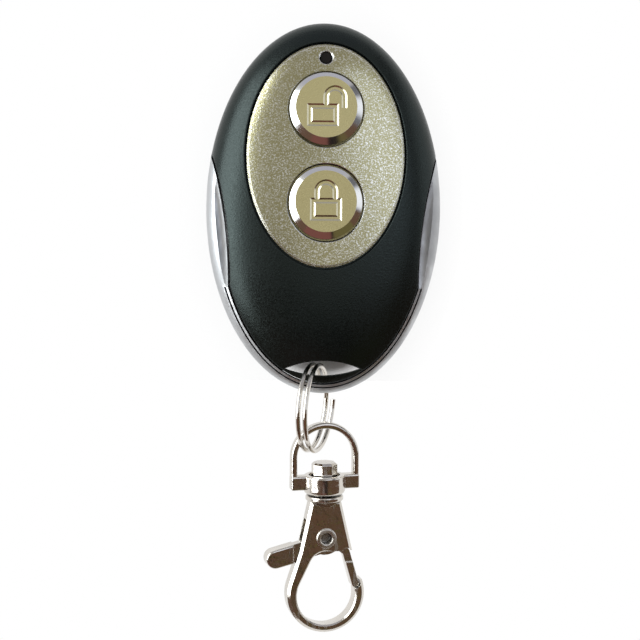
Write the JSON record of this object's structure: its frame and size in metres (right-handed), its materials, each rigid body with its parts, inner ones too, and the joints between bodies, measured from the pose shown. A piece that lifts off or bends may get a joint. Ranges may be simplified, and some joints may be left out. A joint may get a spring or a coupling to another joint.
{
  "type": "garage door remote",
  "caption": "Oval pocket remote with a silver faceplate, round lock and unlock buttons, a silver side band, a split ring and a swivel lobster clasp.",
  "frame": {"origin": "middle of the case's flat back face", "axes": "+Z out of the front face, +Y to the lamp end, -Y to the keyring end, +X to the right seen from the front"},
  "size_m": [0.0394, 0.1027, 0.0148],
  "materials": {
    "case_black": "fine matt texture",
    "band_silver": "satin",
    "plate_champagne": "fine sparkling satin",
    "button_champagne": "satin face, bright edge",
    "lamp_window": "dark, clear",
    "lamp_body": "clear red",
    "board_green": "solder mask",
    "switch_black": "moulded",
    "plunger_white": "moulded",
    "chip_black": "moulded",
    "can_nickel": "satin nickel",
    "capacitor_tan": "ceramic",
    "resistor_black": "ceramic",
    "trace_copper": "bare copper",
    "cell_jacket": "printed jacket, plain",
    "contact_nickel": "nickel plated spring steel",
    "foam_grey": "foam",
    "screw_steel": "zinc plated",
    "ring_nickel": "bright nickel",
    "clasp_nickel": "bright nickel",
    "spring_steel": "bright wire"
  },
  "bodies": {
    "remote": {"front_shell": "case_black", "rear_shell": "case_black", "trim_band": "band_silver", "faceplate": "plate_champagne", "light_pipe": "lamp_window", "status_led": "lamp_body", "circuit_board": "board_green", "switch_body_unlock": "switch_black", "switch_body_lock": "switch_black", "encoder_chip": "chip_black", "saw_resonator": "can_nickel", "rf_transistor": "chip_black", "chip_capacitors": "capacitor_tan", "chip_resistors": "resistor_black", "antenna_trace": "trace_copper", "battery": "cell_jacket", "contact_positive": "contact_nickel", "contact_negative": "contact_nickel", "battery_pad": "foam_grey", "case_screws": "screw_steel"},
    "unlock_cap": {"button_unlock": "button_champagne"},
    "lock_cap": {"button_lock": "button_champagne"},
    "unlock_plunger": {"switch_plunger_unlock": "plunger_white"},
    "lock_plunger": {"switch_plunger_lock": "plunger_white"},
    "ring": {"split_ring": "ring_nickel"},
    "bow": {"swivel_bow": "clasp_nickel"},
    "hook": {"swivel_pin": "clasp_nickel", "hook_body": "clasp_nickel", "gate_rivet": "clasp_nickel", "gate_spring": "spring_steel"},
    "gate": {"gate_lever": "clasp_nickel"}
  },
  "joints": [
    {"name": "unlock_press", "type": "slide", "parent": "remote", "child": "unlock_cap", "axis": [0, -0.1052, -0.9944], "range_m": [0, 0.00035], "stiffness_N_per_m": 400},
    {"name": "lock_press", "type": "slide", "parent": "remote", "child": "lock_cap", "axis": [0, -0.0029, -1], "range_m": [0, 0.00035], "stiffness_N_per_m": 400},
    {"name": "unlock_switch", "type": "slide", "parent": "remote", "child": "unlock_plunger", "axis": [0, 0, -1], "range_m": [0, 0.00035]},
    {"name": "lock_switch", "type": "slide", "parent": "remote", "child": "lock_plunger", "axis": [0, 0, -1], "range_m": [0, 0.00035]},
    {"name": "ring_swing", "type": "hinge", "parent": "remote", "child": "ring", "pos_m": [0, -0.032, 0.0074], "axis": [1, 0, 0], "range_deg": [-20, 25]},
    {"name": "bow_swing", "type": "hinge", "parent": "ring", "child": "bow", "pos_m": [0.0005, -0.04075, 0.00741], "axis": [1, 0, 0], "range_deg": [-45, 10]},
    {"name": "swivel_turn", "type": "hinge", "parent": "bow", "child": "hook", "pos_m": [0.0005, -0.04075, 0.00741], "axis": [-0.0155, 0.9848, 0.1731], "continuous": true},
    {"name": "gate_open", "type": "hinge", "parent": "hook", "child": "gate", "pos_m": [0.00073, -0.05533, 0.00485], "axis": [-0.1763, 0.1677, -0.9699], "range_deg": [0, 25], "stiffness_Nm_per_rad": 0.004}
  ],
  "couplings": [
    {"joint": "unlock_switch", "follows": "unlock_press", "ratio": 1},
    {"joint": "lock_switch", "follows": "lock_press", "ratio": 1}
  ]
}
